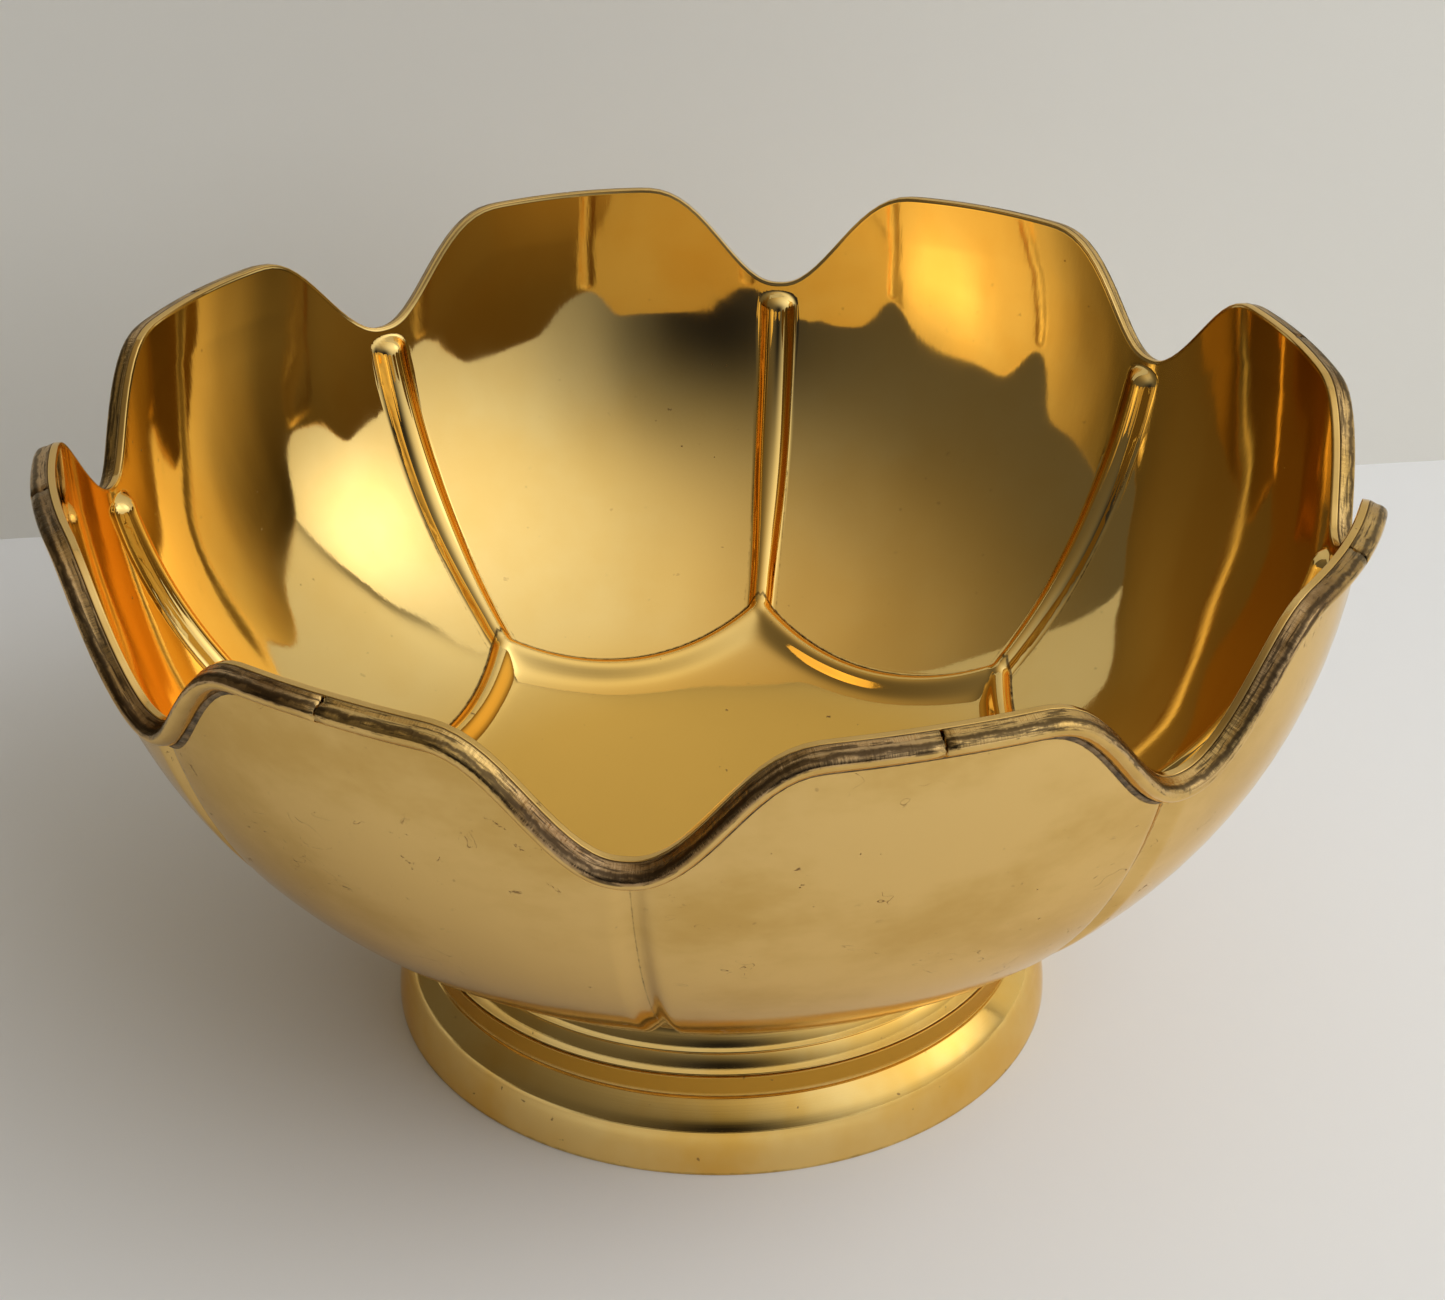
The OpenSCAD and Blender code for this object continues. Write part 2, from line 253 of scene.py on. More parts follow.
def rib_profile(x):
    """Height of a half-round rib at a distance x from its middle line. It ends as a straight slope."""
    radius = (RIB_W**2 + RIB_H**2) / (2 * RIB_H)
    limit = 0.95 * radius
    crown = np.sqrt(radius**2 - np.minimum(x, limit) ** 2) - (radius - RIB_H)
    steep = limit / math.sqrt(radius**2 - limit**2)
    return crown - np.maximum(x - limit, 0) * steep


def along_rib(a, t, below, end):
    """Distance from the rib's middle line, which ends under the edge and at the cusp of two beads."""
    across = a * wall_r(t)
    past_top = np.maximum(end - below, 0)
    past_cusp = np.maximum(CUSP_R - 0.5 - wall_r(t), 0) * 1.15
    return np.sqrt(across**2 + past_top**2 + past_cusp**2)


def inside_height(a, t, from_bead, below):
    """How far ribs and arc beads stand up inside the bowl."""
    slim = 1 - RIB_TAPER * smooth_step((RIB_TAPER_R - wall_r(t)) / (RIB_TAPER_R - CUSP_R))
    rib = smooth_max(rib_profile(along_rib(a, t, below, RIB_END + RIB_W) / slim), 0, 0.9)
    reach, power = BEAD_GENTLE
    gentle = BEAD_H * np.exp(-(np.clip(-from_bead / reach, 0, FAR) ** power))
    reach, power = BEAD_STEEP
    steep = BEAD_H * (1 - (np.clip(from_bead, 0, FAR) / reach) ** power)
    bead = smooth_max(np.where(from_bead < 0, gentle, np.maximum(steep, SUNK)), 0, 0.7)
    return smooth_max(rib, bead, 0.8)


def cosine_groove(x):
    """Depth of a groove with rounded lips: full at 0, none from 1 on."""
    return GROOVE_DEPTH * (0.5 + 0.5 * np.cos(math.pi * np.clip(x, 0, 1)))


def outside_depth(a, t, from_bead, below):
    """How far the grooves behind the ribs and beads sink into the outer face."""
    groove = cosine_groove(np.sqrt(along_rib(a, t, below, MOULDING_H) ** 2 + 0.12) / GROOVE_W)
    reach, power = STEP_STEEP
    steep = GROOVE_DEPTH * (1 - (np.clip(from_bead, 0, FAR) / reach) ** power)
    gentle = cosine_groove(-from_bead / STEP_GENTLE)
    step = smooth_max(np.where(from_bead < 0, gentle, np.maximum(steep, SUNK)), 0, 0.8)
    return smooth_max(groove, step, 0.6)


# The lean of one petal: where it is, how wide, how deep, and from which radius on over what distance.
DENT_AZIMUTH = math.radians(14)
DENT_WIDTH = 0.52
DENT_DEPTH = 4.2
DENT_START_R = 85
DENT_REACH = 35
WAVES = np.random.default_rng(8).normal(size=(24, 3))
SHEET_WAVE = (55, 0.07)
SOLDER_WAVE = (24, 0.22)


def waviness(points, length, amount, first=0, count=8):
    """A gentle unevenness of hand-finished metal, from a few crossing waves of about one length."""
    total = np.zeros(points.shape[:-1])
    for k in range(first, first + count):
        direction = WAVES[k] / np.linalg.norm(WAVES[k])
        total += np.sin(points @ direction * (2 * math.pi / length * (0.7 + 0.09 * k)) + 5 * k)
    return amount * total / math.sqrt(count)


def knocked_in(azimuth, r):
    """The bowl is a little out of round: one petal leans in near its edge."""
    turn = (azimuth - DENT_AZIMUTH + math.pi) % (2 * math.pi) - math.pi
    high_up = smooth_step((r - DENT_START_R) / DENT_REACH)
    return DENT_DEPTH * np.exp(-((turn / DENT_WIDTH) ** 2)) * high_up


def on_wall(azimuth, t, inward):
    """Points of the wall at an azimuth and t, shifted into the bowl."""
    dr, dz = wall_slope(t)
    speed = np.hypot(dr, dz)
    r = wall_r(t) - inward * dz / speed
    r = r - knocked_in(azimuth, r)
    z = wall_z(t) + inward * dr / speed
    return np.stack([r * np.cos(azimuth), r * np.sin(azimuth), z], -1)


def full_turn(row):
    """A row for half a sector, unfolded over all the columns: azimuth and t."""
    a, t = row[0], row[1]
    k = np.arange(COLUMNS) % SECTOR_COLUMNS
    lobe = np.arange(COLUMNS) // SECTOR_COLUMNS
    mirrored = np.where(k <= HALF_COLUMNS, k, SECTOR_COLUMNS - k)
    start = -math.pi / 2 + SECTOR * lobe
    azimuth = np.where(k <= HALF_COLUMNS, start + a[mirrored], start + SECTOR - a[mirrored])
    return azimuth, t[mirrored], mirrored


def inner_points(row):
    azimuth, t, m = full_turn(row)
    a = row[0][m]
    rise = inside_height(a, t, row[2], row[3])
    flat = on_wall(azimuth, t, 0)
    return on_wall(azimuth, t, rise + waviness(flat, *SHEET_WAVE))


def outer_points(row):
    azimuth, t, m = full_turn(row)
    a = row[0][m]
    sunk = outside_depth(a, t, row[2], row[3])
    flat = on_wall(azimuth, t, 0)
    return on_wall(azimuth, t, sunk - SHEET_T + waviness(flat, *SHEET_WAVE))


def edge_points(below, inward):
    """Points near the edge itself, where there is no rib and no groove."""
    azimuth, t, _ = full_turn(edge_row(below))
    flat = on_wall(azimuth, t, 0)
    return on_wall(azimuth, t, inward + waviness(flat, *SHEET_WAVE))


def out_of_edge():
    """Unit vectors square to the outer face, at the edge."""
    azimuth, t, _ = full_turn(edge_row(0))
    return on_wall(azimuth, t, -1) - on_wall(azimuth, t, 0)


# --- Making objects ---


def mesh_piece(name, rings, material, replaced, values=None, poles=(), caps=False):
    """A piece from rings of points in millimetres, joined in order.

    With two poles or caps the skin closes over its ends. Without them the last ring joins the first.
    """
    rings = [np.asarray(r, float) for r in rings]
    count, size = len(rings), len(rings[0])
    points = np.concatenate(rings)
    faces = []
    ring_pairs = [(k, (k + 1) % count) for k in range(count if not (len(poles) or caps) else count - 1)]
    for k, n in ring_pairs:
        for c in range(size):
            d = (c + 1) % size
            faces.append((k * size + c, k * size + d, n * size + d, n * size + c))
    if len(poles):
        first, last = len(points), len(points) + 1
        points = np.concatenate([points, np.asarray(poles, float)])
        top = (count - 1) * size
        for c in range(size):
            d = (c + 1) % size
            faces.append((first, d, c))
            faces.append((last, top + c, top + d))
    if caps:
        faces.append(tuple(range(size))[::-1])
        faces.append(tuple((count - 1) * size + c for c in range(size)))
    mesh = bpy.data.meshes.new(name)
    mesh.from_pydata((points * MM).tolist(), [], faces)
    mesh.polygons.foreach_set("use_smooth", [True] * len(mesh.polygons))
    for key, value in (values or {}).items():
        layer = mesh.attributes.new(key, "FLOAT", "POINT")
        layer.data.foreach_set("value", np.asarray(value, np.float32))
    mesh.validate()
    piece = bpy.data.objects.new(name, mesh)
    bpy.context.scene.collection.objects.link(piece)
    mesh.materials.append(material)
    face_outward(mesh)
    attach(piece, "root")
    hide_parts(replaced)


def face_outward(mesh):
    """Turns every face of a closed mesh so that its volume is positive."""
    count = len(mesh.vertices)
    points = np.empty(count * 3)
    mesh.vertices.foreach_get("co", points)
    points = points.reshape(-1, 3)
    mesh.calc_loop_triangles()
    corners = np.empty(len(mesh.loop_triangles) * 3, np.int32)
    mesh.loop_triangles.foreach_get("vertices", corners)
    a, b, c = (points[corners.reshape(-1, 3)[:, k]] for k in range(3))
    if np.einsum("ij,ij->i", a, np.cross(b, c)).sum() < 0:
        mesh.flip_normals()


TURN_STEPS = 288


def lathe_rings(profile):
    """Rings of points for a closed outline spun about the axis."""
    turn = np.arange(TURN_STEPS) * 2 * math.pi / TURN_STEPS
    x, y = np.cos(turn), np.sin(turn)
    return [np.stack([r * x, r * y, np.full(TURN_STEPS, z)], -1) for r, z in profile]


# --- Materials ---


class Shader:
    """A small helper that adds nodes to a material and links them."""

    def __init__(self, name):
        self.material = bpy.data.materials.new(name)
        self.material.use_nodes = True
        self.tree = self.material.node_tree
        self.bsdf = self.tree.nodes["Principled BSDF"]

    def add(self, kind, inputs=None, **settings):
        """A new node. Inputs are values or other nodes' outputs."""
        node = self.tree.nodes.new(kind)
        for key, value in settings.items():
            setattr(node, key, value)
        for key, value in (inputs or {}).items():
            self.feed(node.inputs[key], value)
        return node

    def feed(self, socket, value):
        if isinstance(value, bpy.types.NodeSocket):
            self.tree.links.new(value, socket)
        else:
            socket.default_value = value

    def stretched(self, vector, by):
        inputs = {0: vector, 1: by}
        return self.add("ShaderNodeVectorMath", inputs, operation="MULTIPLY").outputs[0]

    def combined(self, x, y):
        return self.add("ShaderNodeCombineXYZ", {0: x, 1: y}).outputs[0]

    def place(self):
        """Object-space position in millimetres."""
        coords = self.add("ShaderNodeTexCoord").outputs["Object"]
        return self.stretched(coords, (1 / MM, 1 / MM, 1 / MM))

    def from_axis(self, place):
        """Distance from the bowl's axis."""
        flat = self.stretched(place, (1, 1, 0))
        return self.add("ShaderNodeVectorMath", {0: flat}, operation="LENGTH").outputs["Value"]

    def noise(self, vector, scale, detail=4, roughness=0.55, stretch=None, distortion=0.0):
        """Noise of a scale in waves for each millimetre, between 0 and 1."""
        if stretch:
            vector = self.stretched(vector, stretch)
        inputs = {"Vector": vector, "Scale": scale, "Detail": detail}
        inputs.update({"Roughness": roughness, "Distortion": distortion})
        return self.add("ShaderNodeTexNoise", inputs).outputs["Fac"]

    def span(self, value, low, high, out_low=0.0, out_high=1.0):
        """Maps low..high to out_low..out_high, clamped and smooth."""
        inputs = {"Value": value, "From Min": low, "From Max": high}
        inputs.update({"To Min": out_low, "To Max": out_high})
        return self.add("ShaderNodeMapRange", inputs, interpolation_type="SMOOTHSTEP").outputs["Result"]

    def math(self, operation, a, b=0.0):
        return self.add("ShaderNodeMath", {0: a, 1: b}, operation=operation).outputs[0]

    def times(self, a, b):
        return self.math("MULTIPLY", a, b)

    def plus(self, a, b):
        return self.math("ADD", a, b)

    def larger(self, a, b):
        return self.math("MAXIMUM", a, b)

    def off(self, a, b):
        """How far a is from b, either way."""
        return self.math("ABSOLUTE", self.math("SUBTRACT", a, b))

    def attribute(self, name):
        return self.add("ShaderNodeAttribute", attribute_name=name).outputs["Fac"]

    def blend(self, share, a, b):
        """The colour a where the share is 0, and b where it is 1. Sockets 6 and 7 are the colours."""
        inputs = {"Factor": share, 6: a, 7: b}
        return self.add("ShaderNodeMix", inputs, data_type="RGBA", clamp_factor=True).outputs[2]

    def bump(self, height, strength, distance, normal=None):
        inputs = {"Height": height, "Strength": strength, "Distance": distance}
        if normal is not None:
            inputs["Normal"] = normal
        return self.add("ShaderNodeBump", inputs).outputs["Normal"]

    def finish(self, colour, roughness, normal):
        self.bsdf.inputs["Metallic"].default_value = 1.0
        self.bsdf.inputs["Specular Tint"].default_value = EDGE_TINT
        self.feed(self.bsdf.inputs["Base Color"], colour)
        self.feed(self.bsdf.inputs["Roughness"], roughness)
        self.feed(self.bsdf.inputs["Normal"], normal)
        return self.material


# Colours of the metal, from polished brass to its dark tarnish. The darkest also paints shade into
# creases. The edge tint is for grazing light.
BRASS_BRIGHT = (0.91, 0.645, 0.235, 1)
BRASS_WARM = (0.84, 0.50, 0.105, 1)
BRASS_PALE = (0.78, 0.52, 0.185, 1)
BRASS_AMBER = (0.60, 0.32, 0.045, 1)
BRASS_BROWN = (0.65, 0.41, 0.12, 1)
COPPER_BROWN = (0.55, 0.37, 0.20, 1)
EDGE_TINT = (0.98, 0.90, 0.74, 1)
TARNISH = (0.20, 0.11, 0.045, 1)
TARNISH_AND_SHADE_DARK = (0.045, 0.028, 0.016, 1)
SOLDER_DARK = (0.10, 0.075, 0.055, 1)
SOLDER_PALE = (0.30, 0.21, 0.12, 1)


def sheet_brass():
    """Polished brass sheet: near mirror inside, more worn outside, with tarnish, fine scratches and
    painted shade in its creases.
    """
    s = Shader("brass_sheet")
    p = s.place()
    outside, painted_shade = s.attribute("outside"), s.attribute("painted_shade")

    patina = s.span(s.noise(p, 0.016, 5, 0.6), 0.36, 0.68, 0, 0.45)
    field = s.span(s.from_axis(p), CUSP_R + 4, ARC_MID_R - 12)
    inner = s.blend(s.larger(patina, field), BRASS_BRIGHT, BRASS_WARM)
    film = s.span(s.noise(p, 0.02, 5, 0.62, stretch=(1, 1, 1.6)), 0.42, 0.66)
    outer = s.blend(film, BRASS_PALE, BRASS_BROWN)
    colour = s.blend(outside, inner, outer)

    specks = s.span(s.noise(p, 0.5, 2, 0.5), 0.735, 0.775)
    patches = s.span(s.noise(p, 0.03, 3, 0.5), 0.52, 0.66)
    spots = s.times(specks, s.span(patches, 0, 1, 0.25, 1))
    blots = s.span(s.noise(p, 0.2, 6, 0.78, distortion=0.6), 0.61, 0.66)
    stained = s.times(s.times(blots, outside), s.span(s.noise(p, 0.035, 1), 0.57, 0.64))
    contour = s.off(s.noise(p, 0.055, 3, 0.6, stretch=(1, 1, 2.2), distortion=0.4), 0.5)
    scored = s.times(s.span(contour, 0.004, 0.001), s.span(s.noise(p, 0.045, 3, 0.7), 0.56, 0.64))
    scored = s.times(s.times(scored, outside), s.span(s.noise(p, 0.4, 2), 0.42, 0.55))
    spots = s.larger(s.larger(spots, stained), scored)
    colour = s.blend(s.times(spots, 0.85), colour, TARNISH)

    # Painted shade: darker in the creases inside, along the edge, in the grooves outside and under the
    # moulding, broken up by grain.
    grain = s.noise(p, 0.8, 4, 0.65)
    shade_amount = s.span(s.plus(painted_shade, s.times(grain, 0.5)), 0.62, 1.1)
    colour = s.blend(shade_amount, colour, TARNISH_AND_SHADE_DARK)

    haze = s.span(s.noise(p, 0.05, 4, 0.6), 0.35, 0.75)
    polish = s.plus(s.times(haze, 0.035), 0.035)
    worn = s.plus(s.times(haze, 0.06), 0.10)
    inside = s.math("SUBTRACT", 1, outside)
    roughness = s.plus(s.times(worn, outside), s.times(polish, inside))
    roughness = s.plus(roughness, s.plus(s.times(shade_amount, 0.35), s.times(spots, 0.3)))

    scratch = s.noise(p, 1.1, 3, 0.6, stretch=(1, 1, 0.12))
    normal = s.bump(scratch, s.plus(s.times(outside, 0.09), 0.025), 0.0001)
    normal = s.bump(s.noise(p, 0.035, 1, 0.5, stretch=(1, 1, 0.3)), 0.5, 0.001, normal)
    return s.finish(colour, roughness, normal)


def moulding_brass():
    """Brass moulding: bright round face, and a copper-brown worn top with streaks and file marks."""
    s = Shader("brass_moulding")
    p = s.place()
    top, across, along = s.attribute("top"), s.attribute("across"), s.attribute("along")

    colour = s.blend(s.span(s.noise(p, 0.08, 4), 0.35, 0.7), BRASS_PALE, BRASS_BROWN)
    worn = s.blend(s.span(s.noise(p, 0.03, 5, 0.7), 0.42, 0.62), COPPER_BROWN, TARNISH)
    cover = s.span(s.noise(p, 0.017, 3, 0.6), 0.36, 0.60, 0.10, 0.95)
    colour = s.blend(s.times(s.span(top, 0.05, 0.5), cover), colour, worn)

    filed = s.noise(s.combined(along, s.times(across, 0.12)), 1.1, 4, 0.7)
    nicks = s.times(s.span(filed, 0.58, 0.70), s.span(s.noise(p, 0.05, 2), 0.45, 0.6))
    smear = s.span(s.noise(s.combined(s.times(along, 0.07), across), 1.5, 5, 0.7), 0.50, 0.58)
    ragged = s.times(s.math("SUBTRACT", s.noise(p, 0.3, 5, 0.7), 0.5), 2.2)
    border = s.span(s.off(s.plus(across, ragged), 2.35), 0.75, 0.15)
    joint = s.span(across, 0.5, 0.05)
    dark = s.larger(s.times(nicks, 0.8), s.times(smear, 0.8))
    dark = s.larger(dark, s.larger(s.times(joint, 0.7), s.times(border, 0.85)))
    colour = s.blend(s.times(dark, s.span(top, 0, 0.35)), colour, TARNISH_AND_SHADE_DARK)

    roughness = s.plus(s.span(top, 0, 1, 0.09, 0.18), s.times(s.times(dark, top), 0.2))
    normal = s.bump(s.times(filed, top), 0.55, 0.0004)
    normal = s.bump(s.noise(p, 0.25, 2, 0.5), 0.2, 0.0004, normal)
    return s.finish(colour, roughness, normal)


def foot_brass():
    """Spun brass: polished, with fine turned rings, a satin band and painted shade in its creases."""
    s = Shader("brass_foot")
    p = s.place()
    satin, painted_shade = s.attribute("satin"), s.attribute("painted_shade")

    patina = s.span(s.noise(p, 0.03, 4, 0.6), 0.35, 0.7)
    colour = s.blend(patina, BRASS_BRIGHT, BRASS_WARM)
    colour = s.blend(satin, colour, BRASS_AMBER)
    # Painted shade: darker in the foot's creases, along its bottom edge and inside its hollow, broken
    # up by grain.
    grain = s.noise(p, 0.5, 4, 0.6)
    shade_amount = s.span(s.plus(painted_shade, s.times(grain, 0.4)), 0.55, 1.1)
    colour = s.blend(shade_amount, colour, TARNISH_AND_SHADE_DARK)
    specks = s.span(s.noise(p, 0.45, 2, 0.5), 0.735, 0.775)
    colour = s.blend(s.times(specks, 0.7), colour, TARNISH)

    height = s.add("ShaderNodeSeparateXYZ", {0: p}).outputs[2]
    lines = s.noise(s.combined(height, s.from_axis(p)), 2.2, 3, 0.7)
    roughness = s.plus(s.span(lines, 0.3, 0.7, 0.05, 0.10), s.times(shade_amount, 0.35))
    roughness = s.plus(roughness, s.times(satin, 0.28))
    return s.finish(colour, roughness, s.bump(lines, 0.12, 0.0001))


def solder_metal():
    """Dull, dark solder with a lumpy surface."""
    s = Shader("solder")
    p = s.place()
    lumps = s.noise(p, 0.5, 4, 0.6)
    colour = s.blend(s.span(lumps, 0.35, 0.65), SOLDER_DARK, SOLDER_PALE)
    roughness = s.span(s.noise(p, 0.9, 3), 0.3, 0.7, 0.32, 0.6)
    return s.finish(colour, roughness, s.bump(lumps, 0.6, 0.0005))


# --- Pieces ---


# The sheet's rounded edge, from its inner to its outer face: distance below the edge, shift inward.
EDGE_SECTION = [(0.4, 0), (0.25, 0), (0.12, -0.03), (0.04, -0.1), (0, -0.22), (0, -0.4), (0, -0.7)]
EDGE_SECTION += [(0, -1.0), (0, -1.2), (0.03, -1.3), (0.1, -1.37), (0.25, -SHEET_T)]
# A little painted shade along the sheet's edge, where the moulding meets it.
EDGE_SHADE = 0.25


def bowl_body():
    """The pressed sheet, as one closed skin from its inner middle over the edge to its outer middle."""
    inner, outer = sheet_rows(INNER_STEPS), sheet_rows(OUTER_STEPS)
    rings = [inner_points(row) for row in inner]
    rings += [edge_points(below, inward) for below, inward in EDGE_SECTION]
    rings += [outer_points(row) for row in reversed(outer)]
    poles = [(0, 0, FLOOR_Z), (0, 0, FLOOR_Z - SHEET_T)]
    # Painted shade for each ring: in the creases inside, a little along the edge, and in the grooves
    # and under the moulding outside.
    painted_shade = [sheet_shade(row) for row in inner] + [np.full(COLUMNS, EDGE_SHADE)] * len(EDGE_SECTION)
    painted_shade += [outer_shade(row) for row in reversed(outer)]
    outside = np.repeat([0] * len(inner) + [1] * (len(EDGE_SECTION) + len(outer)), COLUMNS)
    values = {
        "painted_shade": np.concatenate(painted_shade + [np.zeros(len(poles))]),
        "outside": np.concatenate([outside, [0, 1]]),
    }
    mesh_piece("bowl_body_sheet", rings, sheet_brass(), "bowl_body", values, poles)


def bump_at(x, middle, width):
    """A bell curve of height 1 about the middle."""
    return np.exp(-(((x - middle) / width) ** 2))


def sheet_shade(row):
    """Where shade is painted inside: at the cusps, at the foot of the beads, around the rib's end and
    along its sides.
    """
    _, t, m = full_turn(row)
    a = row[0][m]
    across = a * wall_r(t)
    cusp = 0.5 * np.exp(-((across / 3) ** 2 + ((wall_r(t) - CUSP_R - 2) / 2.5) ** 2))
    foot = 0.76 * bump_at(row[2], 2.4, 0.5)
    tip = 0.3 * bump_at(np.hypot(across, row[3] - RIB_END - 2), 2.5, 1.2)
    side = 0.66 * bump_at(across, RIB_W - 0.1, 0.35) * (wall_r(t) > CUSP_R) * (row[3] > RIB_END + RIB_W)
    return np.maximum.reduce([cusp, foot * np.ones(COLUMNS), tip, side])


def outer_shade(row):
    """Where shade is painted outside: in the groove behind each rib and in a line under the moulding.
    """
    _, t, m = full_turn(row)
    across = row[0][m] * wall_r(t)
    live = np.clip((wall_r(t) - CUSP_R) / 3, 0, 1)
    groove = 0.58 * bump_at(across, 0, 0.4) * live
    seam = 0.62 * bump_at(row[3], MOULDING_H + 0.6, 0.9)
    return np.maximum(groove, seam * np.ones(COLUMNS))


# Where the moulding's filed top ends and where it is thickest, as shares of its thickness and height.
FLAT_END = 0.4
THICKEST = 0.44


def moulding_section():
    """The moulding's outline: share of the way down its back, share of its thickness, is it filed."""
    low = TOP_SLOPE * FLAT_END
    top = [(0.03, 0, 1)] + [(TOP_SLOPE * k, k, 1) for k in (0.04, 0.1, 0.17, 0.25, 0.33, FLAT_END)]
    shoulder = []
    for k in np.linspace(0.08, 1, 13):
        c, s = math.cos(k * math.pi / 2), math.sin(k * math.pi / 2)
        shoulder.append((low + (THICKEST - low) * (1 - c), FLAT_END + (1 - FLAT_END) * s, c**0.7))
    belly = []
    for k in np.linspace(0.1, 0.96, 10):
        belly.append((THICKEST + (1 - THICKEST) * k, math.cos(k * math.pi / 2) ** 0.75, 0))
    return top + shoulder + belly + [(0.995, 0, 0), (0.5, 0, 0)]


# Keeps the streaks of one length of moulding from going on in the next.
LENGTH_APART = 150


def rim_moulding(n, material):
    """A length of moulding, from the middle of one petal through notch n to the middle of the next."""
    section = np.array(moulding_section())
    top, mid, low = (edge_points(below, -SHEET_T) for below in (0, MOULDING_H / 2, MOULDING_H))
    out = out_of_edge()
    columns = [(n * SECTOR_COLUMNS + k) % COLUMNS for k in range(-HALF_COLUMNS, HALF_COLUMNS + 1)]
    rings = []
    for c in columns:
        s = section[:, 0:1]
        back = top[c] * (1 - s) * (1 - 2 * s) + mid[c] * 4 * s * (1 - s) + low[c] * s * (2 * s - 1)
        rings.append(back + out[c] * (MOULDING_T * section[:, 1:2] + MOULDING_GAP))
    # The sawn ends are a little jagged, and differ from one length to the next.
    rng = np.random.default_rng(40 + n)
    for end, near in ((0, 1), (-1, -2)):
        jag = (0.06 + 0.16 * rng.random(len(section)))[:, None]
        rings[end] = rings[end] + (rings[near] - rings[end]) * jag
    middle = np.array([r.mean(0) for r in rings])
    steps = np.linalg.norm(np.diff(middle, axis=0), axis=1)
    length = np.concatenate([[0], np.cumsum(steps)]) + LENGTH_APART * n
    size = len(section)
    values = {
        "along": np.repeat(length, size),
        "across": np.tile(section[:, 1] * MOULDING_T, len(rings)),
        "top": np.tile(section[:, 2], len(rings)),
    }
    name = f"rim_moulding_{n + 1}"
    mesh_piece(name + "_strip", rings, material, name, values, caps=True)


def rim_solder(material):
    """The seam of solder under the moulding, uneven and thin."""
    low = edge_points(MOULDING_H - 0.05, -SHEET_T)
    under = edge_points(MOULDING_H + SOLDER_DROP, -SHEET_T)
    out, down = out_of_edge(), under - low
    wide = np.clip(0.55 + waviness(low, *SOLDER_WAVE, first=6), 0.2, 0.95)[:, None]
    rings = [low - out * 0.3, low + out * wide, low + down * 0.3 + out * wide * 0.62]
    rings += [low + down * 0.65 + out * wide * 0.25, under - out * 0.05, under - out * 0.5]
    mesh_piece("rim_solder_seam", rings, material, "rim_solder")


def bend(a, b, c, steps):
    """A curve that leaves a, passes through b and ends at c."""
    a, b, c = map(np.array, (a, b, c))
    mid = 2 * b - (a + c) / 2
    shares = np.linspace(0, 1, steps + 1)[1:, None]
    return list(a * (1 - shares) ** 2 + mid * 2 * shares * (1 - shares) + c * shares**2)


def turned(centre, radius, start, stop, steps):
    """Part of a circle, from one angle to another in degrees."""
    angles = np.radians(np.linspace(start, stop, steps + 1))
    return [np.array(centre) + radius * np.array([math.cos(a), math.sin(a)]) for a in angles]


def under_bowl(r, gap):
    """A point of the foot's outline at a gap below the plain sheet, under the wall's radius r."""
    t = t_at_r(r)
    dr, dz = wall_slope(t)
    speed = math.hypot(dr, dz)
    return np.array([r + (SHEET_T + gap) * dz / speed, wall_z(t) - (SHEET_T + gap) * dr / speed])


NECK_TOP_R = 56.0
NECK_R = FOOT_R - 10
NECK_GAP = 0.1
FOOT_T = 1.6
SIDE_H = 8.5
SIDE_LEAN = 1.5
# The shoulder turns tightly up to its middle angle and widely from there on. Angles are in degrees.
SHOULDER_R = 8.2
SHOULDER_TOP_R = 32
SHOULDER_START = 16
SHOULDER_MID = 38
SHOULDER_END = 45
BAND_H = 4.2


